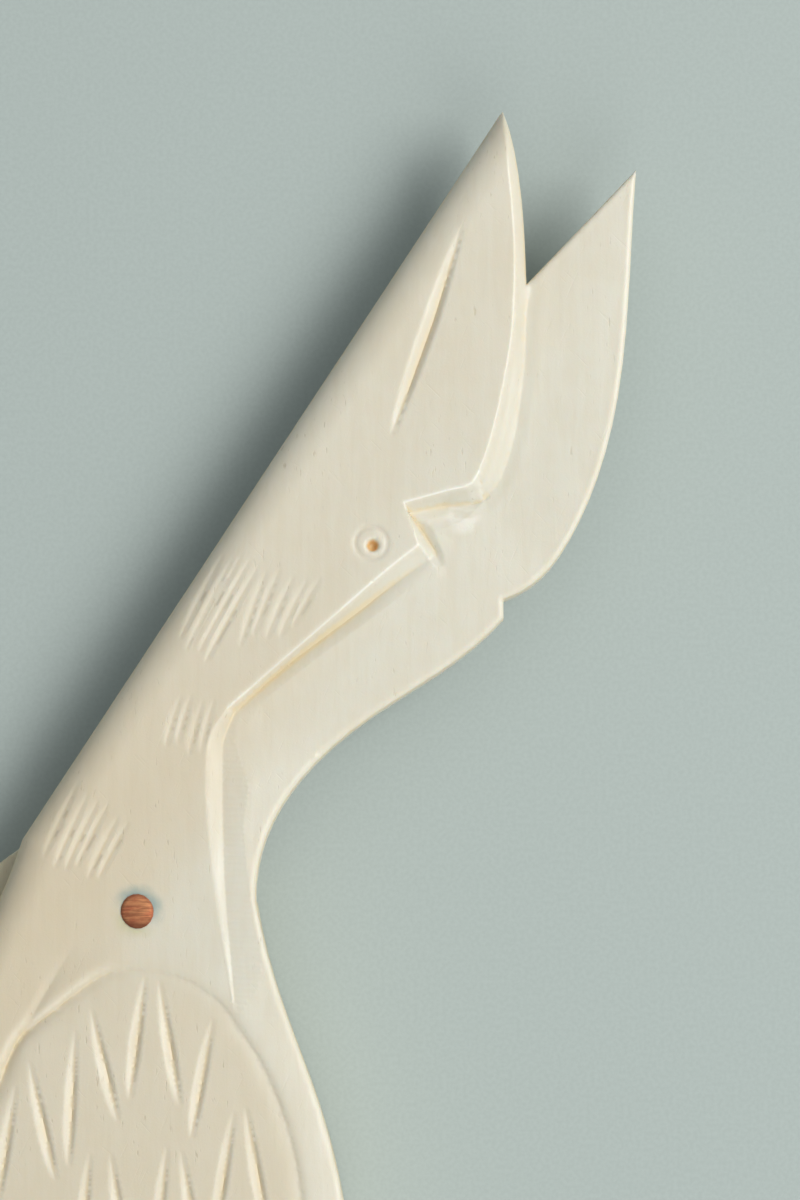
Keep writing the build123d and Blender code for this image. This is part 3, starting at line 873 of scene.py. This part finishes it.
def carvedBoneMaterial():
    look = {name: linear(*value) for name, value in carvedLook.items()}
    material, bench, shader, place = newMaterial(
        "carvedBone", 0.42, Subsurface_Weight=0.28, Subsurface_Scale=0.0016,
        Subsurface_Radius=(1.0, 0.62, 0.34), IOR=1.5)
    grain = bench.add("ShaderNodeGroup", {}, node_tree=boneGrain)
    bench.tree.links.new(place, grain.inputs["Vector"])
    grain.inputs["Scratches"].default_value = 1.0
    hollow = bench.add("ShaderNodeAttribute", attribute_name="hollow").outputs["Fac"]
    dip = bench.add("ShaderNodeAttribute", attribute_name="dip").outputs["Fac"]
    apart = bench.add("ShaderNodeSeparateXYZ", {0: place})
    # paler towards the beak, tanner towards the wing
    along = bench.ramp(apart.outputs["Y"], 0.030, 0.066)
    base = bench.blend(along, look["tan"], look["head"])
    pale = bench.add("ShaderNodeAttribute", attribute_name="pale").outputs["Fac"]
    base = bench.blend(bench.math("MULTIPLY", pale, 0.9), base, look["pale"])
    mottled = bench.ramp(grain.outputs["Tone"], 0.36, 0.62)
    base = bench.blend(bench.math("MULTIPLY", bench.math("SUBTRACT", 1.0, mottled), 0.22), base, look["grime"])
    base = bench.blend(bench.math("MULTIPLY", grain.outputs["Pores"], 0.4), base, look["pore"])
    deep = bench.ramp(hollow, 0.60, 0.95)
    base = bench.blend(bench.math("MULTIPLY", deep, 0.6), base, look["warm"])
    base = bench.blend(bench.math("MULTIPLY", bench.ramp(dip, 0.62, 1.0), 0.12), base, look["warm"])
    # painted highlight: proud edges are painted near white as a glint and made shinier
    paintedGlint = bench.add("ShaderNodeAttribute", attribute_name="paintedGlint").outputs["Fac"]
    base = bench.blend(bench.math("MULTIPLY", paintedGlint, 0.75), base, look["paintedGlint"])
    # green bloom that the copper leaves round the rivet
    centre = bench.add("ShaderNodeCombineXYZ", {"X": pivot.x, "Y": pivot.y, "Z": 0.0}).outputs[0]
    flat = bench.add("ShaderNodeCombineXYZ", {"X": apart.outputs["X"], "Y": apart.outputs["Y"],
                                              "Z": 0.0}).outputs[0]
    away = bench.add("ShaderNodeVectorMath", {0: flat, 1: centre}, operation="SUBTRACT").outputs[0]
    reach = bench.add("ShaderNodeVectorMath", {0: away}, operation="LENGTH").outputs["Value"]
    reach = bench.math("ADD", reach, bench.math("MULTIPLY", bench.noise(place, 900, 3.0), 0.0009))
    bloom = bench.ramp(reach, 0.0017, 0.0029, 1.0, 0.0)
    sides = bench.add("ShaderNodeSeparateXYZ", {0: away})
    lean = bench.math("ADD", bench.math("MULTIPLY", sides.outputs["X"], 0.45), sides.outputs["Y"])
    upper = bench.ramp(lean, -0.0008, 0.0012)
    base = bench.blend(bench.math("MULTIPLY", bench.math("MULTIPLY", bloom, upper), 0.62), base, look["stain"])
    lower = bench.ramp(lean, -0.0004, -0.0016)
    base = bench.blend(bench.math("MULTIPLY", bench.math("MULTIPLY", bloom, lower), 0.4), base, look["staleStain"])
    # orange-brown colour inside the drilled eye
    inEye = bench.ramp(bench.reach(flat, eye["pitAt"]), 0.32 * mm, 0.58 * mm, 1.0, 0.0)
    base = bench.blend(bench.math("MULTIPLY", inEye, 0.75), base, look["pit"])
    rough = bench.ramp(grain.outputs["Tone"], 0.35, 0.65, 0.50, 0.36)
    rough = bench.math("SUBTRACT", rough, bench.math("MULTIPLY", paintedGlint, 0.16))
    # painted highlight: streaks on the floor of the mouth are painted toward near white and made shinier
    streaked = bench.ramp(bench.noise(bench.stretch(place, (0.35, 1, 1), -0.5), 1500, 1.0), 0.36, 0.66)
    onFloor = bench.ramp(bench.reach(flat, brightFloor), 0.8 * mm, 1.7 * mm, 1.0, 0.0)
    mouth = bench.math("MULTIPLY", onFloor, streaked)
    rough = bench.math("SUBTRACT", rough, bench.math("MULTIPLY", mouth, 0.2))
    base = bench.blend(bench.math("MULTIPLY", mouth, 0.5), base, look["paintedGlint"])
    bench.tree.links.new(base, shader.inputs["Base Color"])
    bench.tree.links.new(rough, shader.inputs["Roughness"])
    bench.bump(shader, grain.outputs["Height"], 0.38, 0.09 * mm)
    return material


plainLook = dict(base=(218, 210, 184), grime=(196, 180, 142), pore=(150, 132, 100))


def plainBoneMaterial(name, tint, scratches):
    look = {key: linear(*[c * t for c, t in zip(value, tint)]) for key, value in plainLook.items()}
    material, bench, shader, place = newMaterial(name, 0.42, Subsurface_Weight=0.22, Subsurface_Scale=0.0014,
                                                 Subsurface_Radius=(1.0, 0.62, 0.34), IOR=1.5)
    grain = bench.add("ShaderNodeGroup", {}, node_tree=boneGrain)
    bench.tree.links.new(place, grain.inputs["Vector"])
    grain.inputs["Scratches"].default_value = scratches
    mottled = bench.ramp(grain.outputs["Tone"], 0.36, 0.62)
    dirt = bench.math("MULTIPLY", bench.math("SUBTRACT", 1.0, mottled), 0.45)
    base = bench.blend(dirt, look["base"], look["grime"])
    base = bench.blend(bench.math("MULTIPLY", grain.outputs["Pores"], 0.7), base, look["pore"])
    bench.tree.links.new(base, shader.inputs["Base Color"])
    bench.tree.links.new(bench.ramp(grain.outputs["Tone"], 0.35, 0.65, 0.52, 0.36), shader.inputs["Roughness"])
    bench.bump(shader, grain.outputs["Height"], 0.5, 0.10 * mm)
    return material


copperLook = dict(bright=(226, 156, 110), mid=(196, 122, 88), dark=(116, 68, 52))


def copperMaterial():
    look = {name: linear(*value) for name, value in copperLook.items()}
    material, bench, shader, place = newMaterial("filedCopper", 0.4, Metallic=1.0)
    marks = bench.noise(bench.stretch(place, (0.08, 1, 1), 0.06), 6200, 3.0, 0.6)
    blotches = bench.noise(bench.stretch(place, (0.6, 1, 1)), 1300, 3.0, 0.55)
    base = bench.blend(bench.ramp(blotches, 0.36, 0.62), look["mid"], look["bright"])
    base = bench.blend(bench.math("MULTIPLY", bench.ramp(marks, 0.44, 0.62), 0.5), base, look["dark"])
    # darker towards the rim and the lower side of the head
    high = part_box("pivot_rivet")[1]
    apart = bench.add("ShaderNodeSeparateXYZ", {0: place})
    lower = bench.ramp(apart.outputs["Y"], pivot.y - 0.2 * mm, pivot.y - 1.3 * mm)
    base = bench.blend(bench.math("MULTIPLY", lower, 0.5), base, look["dark"])
    flat = bench.add("ShaderNodeVectorMath", {0: place, 1: (pivot.x, pivot.y, high.z)}, operation="DISTANCE")
    rim = bench.ramp(flat.outputs["Value"], 1.0 * mm, 1.32 * mm)
    base = bench.blend(bench.math("MULTIPLY", rim, 0.6), base, look["dark"])
    bench.tree.links.new(base, shader.inputs["Base Color"])
    bench.tree.links.new(bench.ramp(blotches, 0.35, 0.65, 0.52, 0.36), shader.inputs["Roughness"])
    bench.bump(shader, marks, 0.6, 0.06 * mm)
    return material


carvedBone = carvedBoneMaterial()
bladeBone = plainBoneMaterial("plainBone", (1, 1, 1), 0.8)
backBone = plainBoneMaterial("backBone", (0.97, 0.965, 0.95), 1.2)
filedCopper = copperMaterial()
bird.data.materials.append(carvedBone)
boneBlade.data.materials.append(bladeBone)
for piece in rivets.values():
    piece.data.materials.append(filedCopper)
for name, material in (("rear_scale", backBone), ("spacer", backBone), ("front_washer", filedCopper),
                       ("rear_washer", filedCopper)):
    data = frame["nodes"][name].data
    data.materials.clear()
    data.materials.append(material)
print("materials made")

# ---- table, light and camera

view = dict(centre=(20.9, 24.9), height=96, away=0.45, tilt=6.0)
tableTone = (177, 188, 184)


def makeStage():
    deselectAll()
    bpy.ops.mesh.primitive_plane_add(size=3.0, location=(0, 0, -0.00002))
    table = bpy.context.object
    table.name = "table"
    material, bench, shader, place = newMaterial("palePaper", 0.9)
    speck = bench.noise(place, 3000, 3.0)
    tone = linear(*tableTone)
    darker = tuple(c * 0.94 for c in tone[:3]) + (1,)
    bench.tree.links.new(bench.blend(bench.ramp(speck, 0.3, 0.7), tone, darker), shader.inputs["Base Color"])
    table.data.materials.append(material)


def makeLight(name, azimuth, elevation, distance, size, power, colour):
    # a soft panel that looks at the rivet
    deselectAll()
    a, e = math.radians(azimuth), math.radians(elevation)
    aim = Vector((pivot.x + 0.02, pivot.y + 0.02, 0.01))
    spot = aim + distance * Vector((math.cos(e) * math.cos(a), math.cos(e) * math.sin(a), math.sin(e)))
    bpy.ops.object.light_add(type="AREA", location=spot)
    lamp = bpy.context.object
    lamp.name = name
    lamp.rotation_euler = (aim - spot).to_track_quat("-Z", "Y").to_euler()
    lamp.data.shape = "RECTANGLE"
    lamp.data.size, lamp.data.size_y = size
    lamp.data.energy = power
    lamp.data.color = colour


def makeCamera():
    deselectAll()
    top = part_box("front_scale")[1].z
    aim = Vector((pivot.x + view["centre"][0] * mm, pivot.y + view["centre"][1] * mm, top))
    tilt = math.radians(view["tilt"])
    bpy.ops.object.camera_add(location=aim + view["away"] * Vector((0, -math.sin(tilt), math.cos(tilt))))
    camera = bpy.context.object
    camera.rotation_euler = (tilt, 0, 0)
    camera.data.sensor_fit = "VERTICAL"
    camera.data.sensor_height = 36
    camera.data.lens = 36 * view["away"] / (view["height"] * mm)
    camera.data.clip_start = 0.01
    bpy.context.scene.camera = camera


makeStage()
makeLight("windowPanel", 12, 50, 0.9, (0.5, 0.5), 6.3, (1.0, 0.985, 0.96))
makeLight("lowPanel", -72, 42, 0.9, (0.6, 0.6), 2.2, (1.0, 0.99, 0.97))
makeLight("roomPanel", 100, 66, 1.0, (0.9, 0.9), 0.8, (0.97, 0.985, 1.0))
makeCamera()
world = bpy.data.worlds.new("room")
bpy.context.scene.world = world
world.use_nodes = True
world.node_tree.nodes["Background"].inputs["Color"].default_value = linear(225, 232, 236)
world.node_tree.nodes["Background"].inputs["Strength"].default_value = 0.34
bpy.context.scene.view_settings.view_transform = "Standard"
